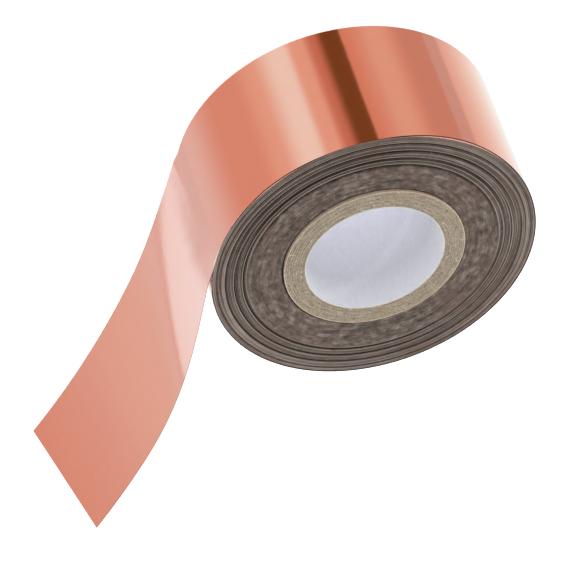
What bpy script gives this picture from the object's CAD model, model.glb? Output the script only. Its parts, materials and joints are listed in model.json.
import json
import math

import bpy
import numpy as np
from mathutils import Euler, Matrix, Vector


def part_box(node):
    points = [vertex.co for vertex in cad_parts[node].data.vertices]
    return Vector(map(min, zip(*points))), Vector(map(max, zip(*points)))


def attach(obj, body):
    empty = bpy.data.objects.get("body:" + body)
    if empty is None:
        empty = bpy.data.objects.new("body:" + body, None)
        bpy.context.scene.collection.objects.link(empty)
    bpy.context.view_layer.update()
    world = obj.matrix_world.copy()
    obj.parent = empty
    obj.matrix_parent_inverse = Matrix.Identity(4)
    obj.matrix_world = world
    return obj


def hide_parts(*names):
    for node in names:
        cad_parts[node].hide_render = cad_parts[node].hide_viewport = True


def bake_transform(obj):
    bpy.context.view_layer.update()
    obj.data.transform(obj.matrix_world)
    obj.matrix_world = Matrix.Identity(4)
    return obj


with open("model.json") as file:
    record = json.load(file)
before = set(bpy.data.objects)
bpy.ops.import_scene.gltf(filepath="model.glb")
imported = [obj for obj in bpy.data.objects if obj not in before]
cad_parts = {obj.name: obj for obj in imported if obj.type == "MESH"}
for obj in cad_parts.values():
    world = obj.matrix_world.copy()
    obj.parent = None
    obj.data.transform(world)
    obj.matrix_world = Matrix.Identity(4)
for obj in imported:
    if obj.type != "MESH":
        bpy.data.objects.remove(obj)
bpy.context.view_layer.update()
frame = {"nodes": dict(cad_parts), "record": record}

MM = 0.001

# ---------------------------------------------------------------- sizes, from the frame
BANDS = sorted(n for n in frame["nodes"] if n.startswith("wound_turns_"))
BOARDS = sorted(n for n in frame["nodes"] if n.startswith("core_board_ply_"))
ROLL_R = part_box("last_turn_foil")[1].x
TAPE_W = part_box("last_turn_foil")[1].z
CORE_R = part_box("core_outer_ply")[1].x
PACK_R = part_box(BANDS[-1])[1].x
BORE_R = frame["record"]["mounts"][0]["dims"]["r_mm"] * MM
CORE_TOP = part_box("core_bore_ply")[1].z
BAND_R = [CORE_R] + [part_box(n)[1].x for n in BANDS]
BAND_TOP = [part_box(n)[1].z for n in BANDS]

# the laminate, from its outer face inwards
FOIL_T = 0.038 * MM
ADHESIVE_T = 0.037 * MM
LINER_T = 0.115 * MM
TAPE_T = FOIL_T + ADHESIVE_T + LINER_T

# the free tail, as in the CAD: an arc that leaves the roll along +Y and leans back to it
TAIL_LEN = 137.7 * MM
TAIL_SLANT = 9.5 * MM
TAIL_CURL_R = 358 * MM
TAIL_LEAN = 7.7 * MM
LEAN_START = 10.8 * MM
LEAN_RUN = 91.5 * MM
LEAN_POWER = 1.3
PANEL = 24 * MM
FLAP_START = TAIL_LEN - 27 * MM
LAP_ANGLE = math.radians(345)

# how the sheets are cut and bent: a seam stands half way between two folds, clear of their bends
PANELS_IN_TAIL = 5
LAST_SEAM = 107 * MM
FOLD_BEND = 8 * MM
FLAP_BEND = 4 * MM
# the last turn's top edge comes up to full height over this length before the peel line
RISE = 12 * MM
# the foil's hidden start reaches on under the tail and is tucked down to the turn under it
TUCK_LEN = 8 * MM
TUCK_EASE = 6 * MM
TUCK_LIFT = 0.045 * MM
# how far the last turn's adhesive and liner stand below its foil, at the top
SUNK = 0.35 * MM

# what one unit of UV is along the strip and round the roll
UV_UNIT = 20 * MM


# ---------------------------------------------------------------- small helpers
def smooth(x):
    """0 below 0, 1 above 1, and a smooth step between them."""
    x = np.clip(x, 0, 1)
    return x * x * (3 - 2 * x)


def wave(a, b, seed):
    """A smooth, repeatable wander of about -1 to 1, from a few sines with seeded directions."""
    draw = np.random.default_rng(seed)
    total = 0
    for k in range(5):
        fa, fb, phase = draw.uniform(-1, 1), draw.uniform(-1, 1), draw.uniform(0, 2 * math.pi)
        total = total + np.sin((fa * a + fb * b) * (1 + k * 0.6) + phase) / (1 + k * 0.5)
    return total / 3


def shown(r, g, b, light=1.0):
    """The surface colour that shows as these 0 to 255 display values under so much light."""
    def channel(c):
        c = c / 255
        linear = c / 12.92 if c <= 0.04045 else ((c + 0.055) / 1.055) ** 2.4
        return linear / light
    return (channel(r), channel(g), channel(b), 1)


# ---------------------------------------------------------------- node material helpers
class Nodes:
    """Short names for building the node tree of a material or of the world."""

    def __init__(self, owner):
        owner.use_nodes = True
        self.owner = owner
        self.tree = owner.node_tree
        self.shader = self.tree.nodes.get("Principled BSDF")

    def add(self, kind, **values):
        node = self.tree.nodes.new(kind)
        for key, value in values.items():
            setattr(node, key, value)
        return node

    def link(self, a, b):
        self.tree.links.new(a, b)

    def set(self, **values):
        for key, value in values.items():
            self.shader.inputs[key.replace("_", " ")].default_value = value

    def coords(self, output="Object", scale=(1, 1, 1)):
        source = self.add("ShaderNodeTexCoord").outputs[output]
        mapping = self.add("ShaderNodeMapping")
        mapping.inputs["Scale"].default_value = scale
        self.link(source, mapping.inputs["Vector"])
        return mapping.outputs["Vector"]

    def noise(self, vector, scale, detail=4.0, rough=0.55):
        node = self.add("ShaderNodeTexNoise")
        node.inputs["Scale"].default_value = scale
        node.inputs["Detail"].default_value = detail
        node.inputs["Roughness"].default_value = rough
        self.link(vector, node.inputs["Vector"])
        return node.outputs["Fac"]

    def ramp(self, factor, stops):
        node = self.add("ShaderNodeValToRGB")
        ramp = node.color_ramp
        ramp.elements[0].position, ramp.elements[0].color = stops[0]
        ramp.elements[1].position, ramp.elements[1].color = stops[-1]
        for position, color in stops[1:-1]:
            ramp.elements.new(position).color = color
        self.link(factor, node.inputs["Fac"])
        return node.outputs["Color"]

    def math(self, operation, a, b=None, c=None):
        node = self.add("ShaderNodeMath", operation=operation)
        for socket, value in zip(node.inputs, (a, b, c)):
            if value is None:
                continue
            if isinstance(value, (int, float)):
                socket.default_value = value
            else:
                self.link(value, socket)
        return node.outputs[0]

    def range(self, value, low, high, to_low=0.0, to_high=1.0, shape="LINEAR"):
        node = self.add("ShaderNodeMapRange", interpolation_type=shape)
        for name, number in zip(("From Min", "From Max", "To Min", "To Max"),
                                (low, high, to_low, to_high)):
            node.inputs[name].default_value = number
        self.link(value, node.inputs["Value"])
        return node.outputs["Result"]

    def mix(self, factor, a, b, blend="MIX"):
        node = self.add("ShaderNodeMix", data_type="RGBA", blend_type=blend)
        for socket, value in ((node.inputs[0], factor), (node.inputs[6], a), (node.inputs[7], b)):
            if isinstance(value, (int, float, tuple)):
                socket.default_value = value
            else:
                self.link(value, socket)
        return node.outputs[2]

    def bump(self, height, strength, distance):
        node = self.add("ShaderNodeBump")
        node.inputs["Strength"].default_value = strength
        node.inputs["Distance"].default_value = distance
        self.link(height, node.inputs["Height"])
        previous = self.shader.inputs["Normal"].links
        if previous:
            self.link(previous[0].from_socket, node.inputs["Normal"])
        self.link(node.outputs["Normal"], self.shader.inputs["Normal"])

    def attribute(self, name):
        """A number that the mesh stores at each of its points."""
        return self.add("ShaderNodeAttribute", attribute_name=name).outputs["Fac"]

    def radius(self):
        """Distance from the roll's axis."""
        x, y, _ = self.split(self.coords())
        return self.math("SQRT", self.math("ADD", self.math("MULTIPLY", x, x),
                                           self.math("MULTIPLY", y, y)))

    def ring_coords(self, radius, around, across):
        """Texture space for turned parts: across the radius, and round the axis without a seam."""
        x, y, _ = self.split(self.coords())
        bearing = self.math("ARCTAN2", y, x)
        node = self.add("ShaderNodeCombineXYZ")
        self.link(self.math("MULTIPLY", self.math("COSINE", bearing), around), node.inputs[0])
        self.link(self.math("MULTIPLY", self.math("SINE", bearing), around), node.inputs[1])
        self.link(self.math("MULTIPLY", radius, across), node.inputs[2])
        return node.outputs[0]

    def weigh(self, *terms):
        """The sum of some values round 0.5, each times its weight, again round 0.5."""
        total = 0.5
        for value, weight in terms:
            total = self.math("ADD", self.math("MULTIPLY", self.math("SUBTRACT", value, 0.5), weight),
                              total)
        return total

    def gray(self, value):
        """A value as a gray colour."""
        node = self.add("ShaderNodeCombineXYZ")
        for socket in node.inputs:
            self.link(value, socket)
        return node.outputs[0]

    def split(self, vector):
        node = self.add("ShaderNodeSeparateXYZ")
        self.link(vector, node.inputs[0])
        return node.outputs


# ---------------------------------------------------------------- materials
# how much light falls on the core's end and on the edges of the tape, for shown()
END_LIGHT = 1.8
EDGE_LIGHT = 2.1


def copper_foil():
    """A mirror with a faint grain along the tape, and slow dents."""
    m = Nodes(bpy.data.materials.new("copper_foil"))
    m.set(Metallic=1.0)
    tint = m.noise(m.coords("UV", (0.35, 6, 1)), 9, 5)
    cloud = m.noise(m.coords("UV"), 3.2, 3)
    color = m.ramp(tint, [(0.3, (0.915, 0.487, 0.367, 1)), (0.7, (0.945, 0.513, 0.393, 1))])
    color = m.mix(m.range(cloud, 0.35, 0.65, 0.0, 0.3), color, (0.93, 0.525, 0.415, 1))
    # the slit edges of the free tail are turned over a little, and show dull
    along, up, _ = m.split(m.coords("UV"))
    low = m.range(up, 0.45 * MM / UV_UNIT, 0.15 * MM / UV_UNIT)
    high = m.range(up, (TAPE_W - 0.35 * MM) / UV_UNIT, (TAPE_W - 0.15 * MM) / UV_UNIT)
    dull = m.math("MULTIPLY", m.math("ADD", low, high), m.range(along, 0.2, 1.0, 0.0, 0.6))
    m.link(m.mix(dull, color, (0.50, 0.33, 0.27, 1)), m.shader.inputs["Base Color"])
    fine = m.noise(m.coords("UV", (0.5, 30, 1)), 26, 4)
    m.link(m.range(fine, 0.3, 0.7, 0.06, 0.10), m.shader.inputs["Roughness"])
    m.bump(m.noise(m.coords("UV", (0.3, 14, 1)), 12, 3), 0.10, 0.012 * MM)
    m.bump(m.noise(m.coords("UV"), 2.2, 2), 0.10, 0.2 * MM)
    return m.owner


def adhesive():
    """Clear tan glue with fine bubbles."""
    m = Nodes(bpy.data.materials.new("adhesive"))
    m.set(Roughness=0.22, Coat_Weight=0.6, Coat_Roughness=0.08)
    spots = m.noise(m.coords("UV"), 24, 6)
    m.link(m.ramp(spots, [(0.35, shown(206, 178, 140, 1.4)), (0.7, shown(226, 204, 170, 1.4))]),
           m.shader.inputs["Base Color"])
    m.bump(m.noise(m.coords("UV"), 60, 4), 0.3, 0.02 * MM)
    return m.owner


def release_liner():
    """Pale waxed paper."""
    m = Nodes(bpy.data.materials.new("release_liner"))
    m.set(Sheen_Weight=0.05)
    fibre = m.noise(m.coords("UV", (1, 2.2, 1)), 55, 8, 0.7)
    cloud = m.noise(m.coords("UV"), 5, 3)
    paper = m.ramp(fibre, [(0.3, shown(213, 206, 190, 1.5)), (0.7, shown(235, 230, 217, 1.5))])
    m.link(m.mix(m.range(cloud, 0.4, 0.7, 0.0, 0.4), paper, shown(222, 211, 190, 1.5)),
           m.shader.inputs["Base Color"])
    m.link(m.range(fibre, 0.3, 0.7, 0.38, 0.55), m.shader.inputs["Roughness"])
    m.bump(fibre, 0.35, 0.02 * MM)
    return m.owner


def wound_edge():
    """The edges of the turns: copper, adhesive and paper cut through, then rubbed and smeared."""
    m = Nodes(bpy.data.materials.new("wound_edge"))
    m.set(Specular_IOR_Level=0.15)
    radius = m.attribute("turn_radius")
    flat = m.range(radius, 0.785 * ROLL_R, 0.765 * ROLL_R)
    arcs = m.noise(m.ring_coords(radius, 1.6, 1500), 1.0, 4, 0.6)
    wide = m.noise(m.ring_coords(radius, 0.9, 420), 1.0, 3)
    streak = m.noise(m.ring_coords(radius, 8.0, 800), 1.0, 6, 0.7)
    smudge = m.noise(m.coords(), 340, 6, 0.65)
    cloud = m.noise(m.coords(), 70, 4)
    wound = m.weigh((m.attribute("turn_tone"), 0.85), (arcs, 0.9), (wide, 0.8), (smudge, 0.35))
    rubbed = m.weigh((m.attribute("turn_tone"), 0.10), (arcs, 0.35), (wide, 0.4), (smudge, 0.9),
                     (streak, 1.1))
    tone = m.math("ADD", m.math("MULTIPLY", rubbed, flat),
                  m.math("MULTIPLY", wound, m.math("SUBTRACT", 1.0, flat)))
    color = m.ramp(tone, [(0.10, shown(30, 23, 19, EDGE_LIGHT)),
                          (0.36, shown(74, 63, 56, EDGE_LIGHT)),
                          (0.55, shown(108, 94, 85, EDGE_LIGHT)),
                          (0.92, shown(168, 156, 146, EDGE_LIGHT))])
    color = m.mix(m.range(cloud, 0.42, 0.62, 0.0, 0.3), color, shown(110, 84, 72, EDGE_LIGHT))
    hair = m.noise(m.ring_coords(radius, 5.0, 2600), 1.0, 2)
    color = m.mix(m.range(hair, 0.64, 0.70, 0.0, 0.6), color, shown(112, 66, 50, EDGE_LIGHT))
    lint = m.noise(m.coords(), 1300, 2, 0.4)
    color = m.mix(m.range(lint, 0.71, 0.77, 0.0, 0.6), color, shown(176, 168, 160, EDGE_LIGHT))
    color = m.mix(m.attribute("gap"), color, shown(30, 17, 12, EDGE_LIGHT))
    m.link(color, m.shader.inputs["Base Color"])
    m.link(m.range(arcs, 0.45, 0.75, 0.0, 0.3), m.shader.inputs["Metallic"])
    m.link(m.range(wide, 0.3, 0.7, 0.45, 0.62), m.shader.inputs["Roughness"])
    m.bump(arcs, 0.4, 0.05 * MM)
    m.bump(smudge, 0.3, 0.10 * MM)
    return m.owner


def cut_edge():
    """The slit edge of the tape: dark, and bright where it is burred just before the peel line."""
    m = Nodes(bpy.data.materials.new("cut_edge"))
    m.set(Specular_IOR_Level=0.2)
    along, _, _ = m.split(m.coords("UV"))
    nick = m.noise(m.coords("UV", (1, 3, 1)), 30, 3)
    burr = m.math("MULTIPLY", m.range(along, -1.9, -1.2), m.range(along, 0.5, 0.0))
    dark = m.ramp(nick, [(0.35, shown(46, 27, 20, EDGE_LIGHT)),
                         (0.65, shown(74, 48, 38, EDGE_LIGHT))])
    color = m.mix(burr, dark, shown(252, 222, 208, 1.5))
    bare = m.range(along, 0.0, 0.6)
    m.link(m.mix(bare, color, shown(178, 140, 124, EDGE_LIGHT)), m.shader.inputs["Base Color"])
    m.link(m.range(nick, 0.3, 0.7, 0.4, 0.6), m.shader.inputs["Roughness"])
    m.bump(nick, 0.3, 0.02 * MM)
    return m.owner


def bared_foil():
    """The turn under the last one: scuffed and bright where it stands clear, dark in the gap."""
    m = Nodes(bpy.data.materials.new("bared_foil"))
    m.set(Specular_IOR_Level=0.2, Roughness=0.45)
    lit = m.range(m.attribute("above_lap"), 0.10 * MM, 0.30 * MM)
    nick = m.noise(m.coords("UV", (1, 3, 1)), 30, 3)
    bright = m.ramp(nick, [(0.35, shown(232, 166, 146, 1.25)),
                           (0.65, shown(246, 200, 184, 1.25))])
    m.link(m.mix(lit, shown(44, 24, 17, EDGE_LIGHT), bright), m.shader.inputs["Base Color"])
    m.link(m.math("MULTIPLY", lit, 0.3), m.shader.inputs["Metallic"])
    m.bump(nick, 0.3, 0.02 * MM)
    return m.owner


def chipboard():
    """Grey-brown board with fibres, dark and pale flecks and thin plies."""
    m = Nodes(bpy.data.materials.new("chipboard"))
    m.set(Specular_IOR_Level=0.3)
    grain = m.noise(m.coords(), 1500, 8, 0.7)
    plies = m.noise(m.ring_coords(m.radius(), 5.0, 1900), 1.0, 4, 0.6)
    flecks = m.noise(m.coords(), 800, 2, 0.4)
    pale = m.noise(m.coords(), 620, 3, 0.5)
    tone = m.weigh((grain, 1.0), (plies, 0.55))
    color = m.ramp(tone, [(0.25, shown(104, 90, 74, END_LIGHT)),
                          (0.5, shown(152, 139, 119, END_LIGHT)),
                          (0.75, shown(184, 172, 153, END_LIGHT))])
    color = m.mix(m.range(flecks, 0.64, 0.72, 0.0, 0.6), color, shown(84, 68, 54, END_LIGHT))
    color = m.mix(m.range(pale, 0.64, 0.70, 0.0, 0.6), color, shown(206, 196, 178, END_LIGHT))
    color = m.mix(m.attribute("gap"), color, shown(60, 48, 40, END_LIGHT))
    m.link(color, m.shader.inputs["Base Color"])
    m.set(Roughness=0.9)
    m.bump(grain, 0.6, 0.12 * MM)
    m.bump(plies, 0.5, 0.1 * MM)
    return m.owner


def white_ply():
    """White paper wound on a slant, so its joint climbs the bore as a helix."""
    m = Nodes(bpy.data.materials.new("white_ply"))
    fibre = m.noise(m.coords("Object", (1, 1, 0.6)), 900, 7, 0.65)
    cloud = m.noise(m.coords(), 60, 4)
    color = m.ramp(fibre, [(0.3, shown(206, 206, 213)), (0.7, shown(217, 217, 223))])
    color = m.mix(m.range(cloud, 0.4, 0.7, 0.0, 0.5), color, shown(209, 209, 216))
    x, y, z = m.split(m.coords())
    climb = m.math("ADD", m.math("DIVIDE", m.math("ARCTAN2", y, x), 2 * math.pi),
                   m.math("DIVIDE", z, 88 * MM))
    share = m.math("FRACT", m.math("ADD", climb, 0.78))
    from_joint = m.math("ABSOLUTE", m.math("SUBTRACT", share, 0.5))
    joint = m.range(from_joint, 0.004, 0.0015)
    color = m.mix(m.range(from_joint, 0.035, 0.004, 0.0, 0.45), color, shown(225, 225, 230))
    color = m.mix(m.math("MULTIPLY", joint, 0.10), color, shown(186, 184, 192))
    grime = m.range(z, 12 * MM, 38 * MM, 1.42, 0.82)
    color = m.mix(1.0, color, m.gray(grime), "MULTIPLY")
    m.link(color, m.shader.inputs["Base Color"])
    m.set(Roughness=0.72)
    m.bump(fibre, 0.3, 0.04 * MM)
    m.bump(m.math("SUBTRACT", 1.0, joint), 0.25, 0.1 * MM)
    return m.owner


def cut_paper():
    """The cut end of the white ply."""
    m = Nodes(bpy.data.materials.new("cut_paper"))
    fibre = m.noise(m.coords(), 900, 6, 0.6)
    m.link(m.ramp(fibre, [(0.3, shown(186, 180, 168, END_LIGHT)),
                          (0.7, shown(218, 214, 206, END_LIGHT))]),
           m.shader.inputs["Base Color"])
    m.set(Roughness=0.85)
    m.bump(fibre, 0.4, 0.04 * MM)
    return m.owner


def outer_ply():
    """Smooth kraft paper with a pink blush."""
    m = Nodes(bpy.data.materials.new("outer_ply"))
    fibre = m.noise(m.coords(), 1100, 7, 0.65)
    blush = m.noise(m.coords(), 45, 3)
    color = m.ramp(fibre, [(0.3, shown(166, 146, 120, END_LIGHT)),
                           (0.7, shown(216, 198, 172, END_LIGHT))])
    color = m.mix(m.range(blush, 0.5, 0.62, 0.0, 0.6), color, shown(196, 150, 132, END_LIGHT))
    m.link(color, m.shader.inputs["Base Color"])
    m.set(Roughness=0.8)
    m.bump(fibre, 0.5, 0.06 * MM)
    return m.owner


def floor_material():
    """A nearly white, very faintly mottled floor."""
    m = Nodes(bpy.data.materials.new("pale_floor"))
    speck = m.noise(m.coords(), 6, 3)
    m.link(m.ramp(speck, [(0.3, (0.89, 0.89, 0.89, 1)), (0.7, (0.91, 0.91, 0.91, 1))]),
           m.shader.inputs["Base Color"])
    m.set(Roughness=0.9)
    return m.owner


FOIL = copper_foil()
GLUE = adhesive()
LINER = release_liner()
BARED = bared_foil()
WHITE_END = cut_paper()
EDGE = wound_edge()
CUT = cut_edge()
BOARD = chipboard()
WHITE = white_ply()
KRAFT = outer_ply()


# ---------------------------------------------------------------- mesh building
def make_piece(name, points, faces, materials, face_material=None, uv=None, values=None):
    """A mesh object from arrays. uv and values, which materials read by name, are per point."""
    mesh = bpy.data.meshes.new(name)
    mesh.from_pydata(points.tolist(), [], faces.tolist())
    for material in materials:
        mesh.materials.append(material)
    if face_material is not None:
        mesh.polygons.foreach_set("material_index", face_material.astype(np.int32))
    corner = np.zeros(len(mesh.loops), np.int32)
    mesh.loops.foreach_get("vertex_index", corner)
    if uv is not None:
        layer = mesh.uv_layers.new(name="strip")
        layer.data.foreach_set("uv", uv[corner].astype(np.float32).ravel())
    for key, numbers in (values or {}).items():
        store = mesh.attributes.new(key, "FLOAT", "POINT")
        store.data.foreach_set("value", np.asarray(numbers, np.float32).ravel())
    mesh.update()
    piece = bpy.data.objects.new(name, mesh)
    bpy.context.scene.collection.objects.link(piece)
    return piece


def grid_faces(rows, columns, wrap=False, flip=False, start=0):
    """Quads over a grid of points, stored row by row; wrap joins the last column to the first."""
    i = np.arange(rows - 1)[:, None]
    j = np.arange(columns if wrap else columns - 1)[None, :]
    k = (j + 1) % columns
    a, b = i * columns + j, i * columns + k
    quads = np.stack([a, b, b + columns, a + columns], axis=-1).reshape(-1, 4) + start
    return quads[:, ::-1] if flip else quads


def ring_faces(rows, around):
    """Faces of a closed ring: its upper and lower grids, then its inner and its outer wall."""
    n = rows * around
    column = np.arange(around)

    def wall(row):
        p = row * around + column
        q = row * around + (column + 1) % around
        return np.stack([p + n, q + n, q, p], axis=-1)
    return np.concatenate([grid_faces(rows, around, wrap=True, flip=True),
                           grid_faces(rows, around, wrap=True, start=n),
                           wall(0)[:, ::-1], wall(rows - 1)])


def shade(piece, angle):
    """Smooth shading that keeps edges sharper than the angle."""
    mesh = piece.data
    mesh.polygons.foreach_set("use_smooth", np.ones(len(mesh.polygons), bool))
    mesh.set_sharp_from_angle(angle=math.radians(angle))


# ---------------------------------------------------------------- the tape as one strip
def lap_recess(angle):
    """How far the last turn's top edge stands below the others, round the roll."""
    def dip(centre, width, depth):
        gap = (np.degrees(angle) - centre + 180) % 360 - 180
        return depth * np.exp(-(gap / width) ** 2)
    return (dip(-110, 24, 0.78) + dip(-38, 20, 0.5)) * MM


def ripple(u, v):
    """Small dents and waves that a handled foil has, along its normal."""
    free = smooth((u + 4 * MM) / (30 * MM))
    a, b = u / (14 * MM), v * TAPE_W / (16 * MM)
    held = -0.03 * MM * (1 + wave(a, b, 11)) / 2
    # the lower edge springs out a little where the tape leaves the roll
    sprung = smooth(u / (6 * MM)) * (1 - smooth((u - 20 * MM) / (38 * MM)))
    bow = 0.72 * MM * sprung * np.clip(1 - v / 0.7, 0, 1) ** 2
    return held * (1 - free) + free * 0.06 * MM * wave(a * 0.8, b * 0.8, 12) + bow


def strip_frame(u, v):
    """Points on the strip's outer face without ripples: u along it from the peel line, v up it."""
    angle = u / ROLL_R
    recess = lap_recess(angle) * smooth(-u / RISE)
    lap = np.stack([ROLL_R * np.cos(angle), ROLL_R * np.sin(angle),
                    v * (TAPE_W - recess)], axis=-1)
    s = np.maximum(u, 0)
    leaning = np.clip((s - LEAN_START) / LEAN_RUN, 0, 1)
    lean = TAIL_LEAN * np.sin(math.pi / 2 * leaning) ** LEAN_POWER
    upper_s = s * (1 - TAIL_SLANT / TAIL_LEN)

    def arc(distance, inset):
        turn = distance / TAIL_CURL_R
        return np.stack([ROLL_R + TAIL_CURL_R * (1 - np.cos(turn)) - inset * np.cos(turn),
                         TAIL_CURL_R * np.sin(turn) + inset * np.sin(turn)], axis=-1)
    low, high = arc(s, 0 * s), arc(upper_s, lean)
    flat = low * (1 - v[..., None]) + high * v[..., None]
    height = v * np.sqrt(TAPE_W ** 2 - lean ** 2)
    tail = np.concatenate([flat, height[..., None]], axis=-1)
    return np.where((u < 0)[..., None], lap, tail)


def strip_face(u, v, depth):
    """Points on the strip at a depth under the foil's outer face."""
    step = 0.2 * MM
    along = strip_frame(u + step, v) - strip_frame(u - step, v)
    up = strip_frame(u, v + 0.004) - strip_frame(u, v - 0.004)
    normal = np.cross(along, up)
    normal /= np.linalg.norm(normal, axis=-1, keepdims=True)
    point = strip_frame(u, v) + normal * (ripple(u, v) - depth)[..., None]
    point[..., 2] = np.clip(point[..., 2], 0, TAPE_W)
    return point


def strip_piece(name, u0, u1, depth, thick, material, step=0.6 * MM, rows=33, sunk=0.0):
    """One layer of the strip between two distances: a closed sheet with its true thickness.

    On the roll its top edge stands as far as sunk below the foil's.
    """
    count = max(8, int(round((u1 - u0) / step))) + 1
    u, v = np.meshgrid(np.linspace(u0, u1, count), np.linspace(0, 1, rows), indexing="ij")
    v = v * (1 - sunk / TAPE_W * smooth(-u / RISE))
    tuck = smooth((-LAP_ANGLE * ROLL_R - u) / TUCK_EASE) * (ROLL_R - PACK_R - TUCK_LIFT)
    outer = strip_face(u, v, depth + tuck).reshape(-1, 3)
    inner = strip_face(u, v, depth + tuck + thick).reshape(-1, 3)
    n = len(outer)
    loop = np.concatenate([np.arange(rows), np.arange(2, count) * rows - 1,
                           n - 1 - np.arange(rows), (np.arange(count - 2, 0, -1)) * rows])
    nxt = np.roll(loop, -1)
    rim = np.stack([loop, nxt, nxt + n, loop + n], axis=-1)
    faces = np.concatenate([grid_faces(count, rows, flip=True),
                            grid_faces(count, rows, start=n), rim])
    uv = np.stack([u.ravel(), v.ravel() * TAPE_W], axis=-1) / UV_UNIT
    kind = np.zeros(len(faces))
    kind[len(faces) - len(rim):] = 1
    piece = make_piece(name, np.concatenate([outer, inner]), faces, [material, CUT], kind,
                       np.concatenate([uv, uv]))
    shade(piece, 50)
    return piece


def across_fold(s, before, after):
    """Two points on the tail, before and after the fold line at s, on a line square to it."""
    low, high, ahead = (strip_frame(np.array([s + step]), np.array([v]))[0]
                        for step, v in ((0, 0.0), (0, 1.0), (1 * MM, 0.5)))
    fold = (high - low) / np.linalg.norm(high - low)
    middle = (low + high) / 2
    along = (ahead - middle) - fold * np.dot(ahead - middle, fold)
    along /= np.linalg.norm(along)
    return middle - along * before, middle + along * after


def build_tape():
    """The last turn and the free tail, layer by layer, each sheet on the bodies it bends with."""
    lap_start = -LAP_ANGLE * ROLL_R
    layers = (("foil", 0, FOIL_T, FOIL, "copper_foil"),
              ("adhesive", FOIL_T, ADHESIVE_T, GLUE, "adhesive"),
              ("liner", FOIL_T + ADHESIVE_T, LINER_T, LINER, "release_liner"))
    seams = [0] + [(k + 0.5) * PANEL for k in range(PANELS_IN_TAIL - 1)] + [LAST_SEAM]
    for layer, depth, thick, material, slot in layers:
        begin = lap_start - TUCK_LEN if layer == "foil" else lap_start
        lap = strip_piece(f"last_turn_{layer}_sheet", begin, 0, depth, thick, material,
                          step=0.45 * MM, sunk=0.0 if layer == "foil" else SUNK)
        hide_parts(f"last_turn_{layer}")
        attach(lap, "last_turn")
        for k in range(PANELS_IN_TAIL):
            piece = strip_piece(f"tail_{layer}_sheet_{k + 1}", seams[k], seams[k + 1], depth, thick,
                                material)
            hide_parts(f"tail_{layer}_{k + 1}")
            a, b = across_fold(k * PANEL, 0 if k == 0 else FOLD_BEND, FOLD_BEND)
            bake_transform(piece)
        end = strip_piece(f"tail_{layer}_sheet_6", LAST_SEAM, TAIL_LEN, depth, thick, material,
                          step=0.3 * MM)
        if layer == "liner":
            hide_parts("liner_flap")
            a, b = across_fold(FLAP_START, 0, FLAP_BEND)
            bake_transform(end)
        else:
            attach(end, "tail_5")


build_tape()


# ---------------------------------------------------------------- the wound turns
# how open a gap is over the turns inside it, and over the turns next to the core
GAP_SHAPE = [0.8, 1.0, 0.9, 0.55, 0.25]
CORE_GAP = [1.0, 1.0, 0.8, 0.4]
GAP_DEPTH = 0.6 * MM
# points round a turn, and the degrees from the peel line that the last turn leaves open
AROUND = 360
OPEN_ARC = 17


def off_centre(radius, angle):
    """The turns are wound a little off centre, most of all half way out."""
    share = np.clip((radius - CORE_R) / (PACK_R - CORE_R), 0, 1)
    return radius + 0.55 * MM * np.sin(math.pi * share) * np.cos(angle - math.radians(70))


def turn_drop(radius, angle, seed):
    """How far a turn's edge stands below its band's level."""
    x = (radius - CORE_R) / MM
    slow = wave(x * 1.4, np.cos(angle) * 0.8 + np.sin(angle) * 0.5, seed)
    quick = wave(x * 9.0, np.sin(angle) * 0.6, seed + 1)
    return (0.07 * (1 + slow) + 0.03 * (1 + quick)) * MM


def band_level(radius, angle):
    """Depth under the tape's upper edge, eased over the joins between bands."""
    depth = np.full_like(radius, TAPE_W - BAND_TOP[0])
    for k in range(1, len(BAND_TOP)):
        step = BAND_TOP[k - 1] - BAND_TOP[k]
        depth = depth + step * smooth((radius - BAND_R[k]) / (0.5 * MM) + 0.5)
    even = 0.5 + 0.5 * smooth(0.5 + 0.75 * np.cos(angle - math.radians(-50)))
    return depth * even


def gap_outside(k, angle):
    """How open the gap is outside band k, from 0 to 1: half of the gaps open on each side."""
    if not 2 <= k < len(BANDS) - 1:
        return 0 * angle
    centre = 277 if k % 2 == 0 else 40
    away = np.abs((np.degrees(angle) - centre + 180) % 360 - 180)
    # the outermost gap is tighter than the others
    open_by = 0.4 if k == len(BANDS) - 2 else 0.90
    side = 0.10 + open_by * smooth((100 - away) / 50)
    return side * (0.85 + 0.15 * wave(6 * np.cos(angle), 6 * np.sin(angle), 30 + k))


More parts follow.
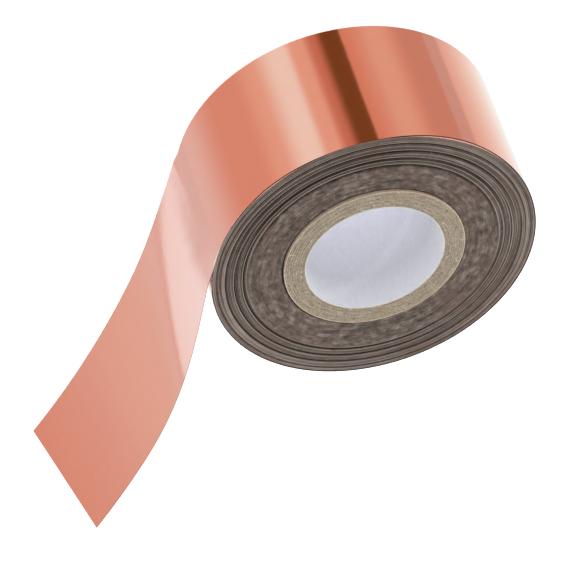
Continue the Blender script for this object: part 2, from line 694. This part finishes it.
def build_band(k, name):
    """One ring of wound turns, whose turns differ in height and tone, down to its gaps."""
    inner_r, outer_r = BAND_R[k], BAND_R[k + 1]
    turns = max(3, int(round((outer_r - inner_r) / TAPE_T)))
    edges = np.linspace(inner_r, outer_r, turns + 1)
    turn = np.repeat(np.arange(turns), 2)
    angle = np.arange(AROUND) / AROUND * 2 * math.pi
    r, a = np.meshgrid(np.stack([edges[:-1], edges[1:]], axis=-1).ravel(), angle, indexing="ij")
    mid, _ = np.meshgrid((edges[turn] + edges[turn + 1]) / 2, angle, indexing="ij")
    from_inside, from_outside = turn[:, None], (turns - 1 - turn)[:, None]

    gap = gap_outside(k, a) * np.select([from_outside == j for j in range(len(GAP_SHAPE))],
                                          GAP_SHAPE, 0.0)
    if k == 0:
        slack = 0.55 + 0.35 * np.cos(a - math.radians(20))
        slack = slack + 0.15 * wave(3 * np.cos(a), 3 * np.sin(a), 29)
        gap = gap + slack * np.select([from_inside == j for j in range(len(CORE_GAP))],
                                      CORE_GAP, 0.0)
    burr = gap_outside(k - 1, a) * (from_inside == 0)
    shade_of_turn = np.random.default_rng(60 + k).uniform(0, 1, turns)[turn][:, None]
    fades_round = 0.75 + 0.25 * np.cos(a * 2 + 7 * shade_of_turn)
    tone = 0.5 + (shade_of_turn - 0.5) * fades_round + 0.9 * burr

    x, y = off_centre(r, a) * np.cos(a), off_centre(r, a) * np.sin(a)
    top = TAPE_W - band_level(mid, a) - turn_drop(mid, a, 40) - GAP_DEPTH * gap
    top = top + 0.05 * MM * burr
    if k == len(BANDS) - 1:
        bared = np.clip(lap_recess(a) / (0.5 * MM), 0, 1) * (from_outside <= 1)
        top = top + (TAPE_W - 0.02 * MM - top) * bared
    foot = turn_drop(mid, a + 2.0, 50) * 0.8
    foot = np.where(mid < BAND_R[3], foot * 0.15, foot)
    upper = np.stack([x, y, top], axis=-1).reshape(-1, 3)
    lower = np.stack([x, y, foot], axis=-1).reshape(-1, 3)
    faces = ring_faces(len(r), AROUND)
    # the outer wall is plain foil between the tape's two ends, and bared above the last turn
    kind = np.zeros(len(faces))
    kind[len(faces) - AROUND:] = np.where(np.degrees(angle) < OPEN_ARC, 1, 2)
    uv = np.stack([a.ravel() * outer_r, np.zeros(len(upper))], axis=-1)
    uv = np.concatenate([uv + [0, TAPE_W], uv]) / UV_UNIT
    lap_top = TAPE_W - lap_recess(a)
    values = {"turn_radius": np.tile(mid.ravel(), 2), "turn_tone": np.tile(tone.ravel(), 2),
              "gap": np.concatenate([gap.ravel(), 0 * gap.ravel()]),
              "above_lap": np.concatenate([(top - lap_top).ravel(), (foot - lap_top).ravel()])}
    piece = make_piece(f"turns_{k + 1:02d}", np.concatenate([upper, lower]), faces,
                       [EDGE, FOIL, BARED], kind, uv, values)
    shade(piece, 30)
    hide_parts(name)
    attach(piece, "roll")


for number, node_name in enumerate(BANDS):
    build_band(number, node_name)


# ---------------------------------------------------------------- the paper core
def build_ply(name, node_name, inner_r, outer_r, material, end_material, rough, lip=0.0):
    """One paper ply of the core, with a rough sawn edge of board at each end."""
    around = 540
    angle = np.arange(around) / around * 2 * math.pi
    radii = np.linspace(inner_r, outer_r, 4)
    top_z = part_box(node_name)[1].z

    def ragged(r, a, seed):
        x = r / MM
        coarse = wave(x * 1.3, 9 * np.cos(a) + 4 * np.sin(2 * a), seed)
        fine = wave(x * 3.0 + 20 * np.sin(a), 46 * np.cos(a), seed + 1)
        return rough * (0.6 * (1 + coarse) + 0.4 * (1 + fine))
    r, a = np.meshgrid(radii, angle, indexing="ij")
    share = (r - inner_r) / (outer_r - inner_r)
    worn = 0.6 + 0.5 * wave(6 * np.cos(a), 5 * np.sin(a), 80)
    drop = ragged(r, a, 70) + lip * (1 - share) ** 2 * worn
    foot = ragged(r, a, 90) * 0.5
    x, y = r * np.cos(a), r * np.sin(a)
    upper = np.stack([x, y, top_z - drop], axis=-1).reshape(-1, 3)
    lower = np.stack([x, y, foot], axis=-1).reshape(-1, 3)
    faces = ring_faces(len(radii), around)
    kind = np.zeros(len(faces))
    kind[:len(faces) - 2 * around] = 1
    gap = np.where(share > 0.99, 0.8, 0.0) * (0.5 + 0.5 * wave(5 * np.cos(a), 5 * np.sin(a), 95))
    piece = make_piece(name, np.concatenate([upper, lower]), faces,
                       [material, end_material], kind,
                       values={"gap": np.tile(gap.ravel(), 2)})
    shade(piece, 40)
    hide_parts(node_name)
    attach(piece, "roll")


board_edges = [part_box(n)[1].x for n in BOARDS]
bore_ply_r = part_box("core_bore_ply")[1].x
build_ply("bore_ply", "core_bore_ply", BORE_R, bore_ply_r, WHITE, WHITE_END,
          0.05 * MM, 0.15 * MM)
for number, node_name in enumerate(BOARDS):
    inner = bore_ply_r if number == 0 else board_edges[number - 1]
    build_ply(f"board_ply_{number + 1}", node_name, inner, board_edges[number], BOARD, BOARD,
              0.07 * MM, 0.35 * MM if number == 0 else 0.0)
build_ply("outer_ply", "core_outer_ply", board_edges[-1], CORE_R, KRAFT, KRAFT,
          0.04 * MM)


# ---------------------------------------------------------------- floor, light and camera
def build_floor():
    """A wide floor just under the roll, which the foil doesn't mirror."""
    half, drop = 6.0, -0.02 * MM
    corners = np.array([[-half, -half, drop], [half, -half, drop],
                        [half, half, drop], [-half, half, drop]])
    floor = make_piece("floor", corners, np.array([[0, 1, 2, 3]]), [floor_material()])
    floor.visible_glossy = False


# What the foil mirrors: soft upright panels round the roll, over a warm ground. Each is (first
# and last azimuth of its full light, fade before it, fade after it, light), in degrees.
GROUND = (0.74, 0.45, 0.38, 1)
PANELS = [
    (48, 100, 38, 20, (0.80, 0.73, 0.76, 1)),
    (62, 72, 8, 12, (0.75, 0.67, 0.69, 1)),
    (126, 138, 60, 80, (0.97, 1.14, 1.15, 1)),
    (-168, -141, 1.5, 15, (0.62, 0.38, 0.32, 1)),
    (-168, -158, 1.5, 2, (0.65, 0.50, 0.48, 1)),
    (-120, -114, 14, 10, (0.78, 0.575, 0.485, 1)),
    (-97, -92, 8, 1, (0.72, 0.38, 0.28, 1)),
    (-66, -26, 6, 18, (0.82, 0.595, 0.515, 1)),
    (-92.6, -74, 1.5, 9, (0.60, 0.27, 0.20, 1)),
    (-92.6, -82, 1.5, 8, (0.19, 0.085, 0.03, 1)),
    (-52, -44, 7, 18, (0.90, 1.04, 1.07, 1)),
]
# a bright card that only the tail mirrors, with a thin dark edge before it: azimuths as above
CARD = (56, 78, 1.4, 16, (0.95, 1.08, 1.20, 1))
CARD_EDGE = (54.2, 54.9, 1.6, 0.8, (0.76, 0.59, 0.58, 1))
# warmer ground, which the middle of the tail mirrors
WARM = (34, 47, 8, 6, (0.80, 0.66, 0.60, 1))
# elevations between which the card and the warm ground come in and go out
CARD_FOOT = (-41.7, -40.5)
CARD_TOP = (-26, -36)
WARM_FOOT = (-38, -34)
# heights of the view's direction between which the ground turns to sky
HORIZON = (-0.12, 0.10)
SKY_LIGHT = 1.75


def build_world():
    """The studio that the foil mirrors, and the soft light from above."""
    world = bpy.data.worlds.new("studio")
    bpy.context.scene.world = world
    m = Nodes(world)
    background = m.tree.nodes["Background"]
    x, y, z = m.split(m.add("ShaderNodeTexCoord").outputs["Generated"])
    azimuth = m.math("MULTIPLY", m.math("ARCTAN2", y, x), 180 / math.pi)
    elevation = m.math("MULTIPLY", m.math("ARCSINE", z), 180 / math.pi)

    def shine(panel):
        first, last, before, after, _ = panel
        half = (last - first) / 2
        away = m.math("WRAP", m.math("SUBTRACT", azimuth, first + half), 180.0, -180.0)
        return m.math("MULTIPLY", m.range(away, -half - before, -half, shape="SMOOTHSTEP"),
                      m.range(away, half + after, half, shape="SMOOTHSTEP"))
    light = GROUND
    for panel in PANELS:
        light = m.mix(shine(panel), light, panel[-1])
    rises = m.range(elevation, *WARM_FOOT, to_high=0.6, shape="SMOOTHSTEP")
    warm = m.math("MULTIPLY", shine(WARM), rises)
    light = m.mix(warm, light, WARM[-1])
    stands = m.math("MULTIPLY", m.range(elevation, *CARD_FOOT, shape="SMOOTHSTEP"),
                    m.range(elevation, *CARD_TOP, shape="SMOOTHSTEP"))
    for panel in (CARD_EDGE, CARD):
        light = m.mix(m.math("MULTIPLY", shine(panel), stands), light, panel[-1])
    sky = (SKY_LIGHT, SKY_LIGHT, SKY_LIGHT, 1)
    m.link(m.mix(m.range(z, *HORIZON), light, sky), background.inputs["Color"])


def build_light():
    """One large soft lamp, which the foil doesn't mirror."""
    lamp = bpy.data.lights.new("softbox", "AREA")
    lamp.shape = "DISK"
    lamp.size = 0.9
    lamp.energy = 7.0
    softbox = bpy.data.objects.new("softbox", lamp)
    softbox.location = (-0.75, 0.35, 1.1)
    aim = Vector((0, 0, 0.03)) - softbox.location
    softbox.rotation_euler = aim.to_track_quat("-Z", "Y").to_euler()
    softbox.visible_glossy = False
    bpy.context.scene.collection.objects.link(softbox)


def build_camera():
    """Looks down on the roll at 41 degrees, turned about its line of sight."""
    lens = bpy.data.cameras.new("camera")
    lens.lens, lens.sensor_width = 243, 36
    lens.clip_start, lens.clip_end = 0.05, 20
    camera = bpy.data.objects.new("camera", lens)
    target = Vector((14.57, 39.46, 25.0)) * MM
    distance, azimuth, elevation, roll = 1.2783, 24.81, 40.66, 161.29
    look = Euler((math.radians(90 - elevation), 0, math.radians(azimuth)), "XYZ")
    spin = Matrix.Rotation(math.radians(roll), 4, "Z")
    back = Matrix.Translation((0, 0, distance))
    camera.matrix_world = Matrix.Translation(target) @ look.to_matrix().to_4x4() @ back @ spin
    bpy.context.scene.collection.objects.link(camera)
    bpy.context.scene.camera = camera


build_floor()
build_world()
build_light()
build_camera()
bpy.context.scene.view_settings.view_transform = "Standard"
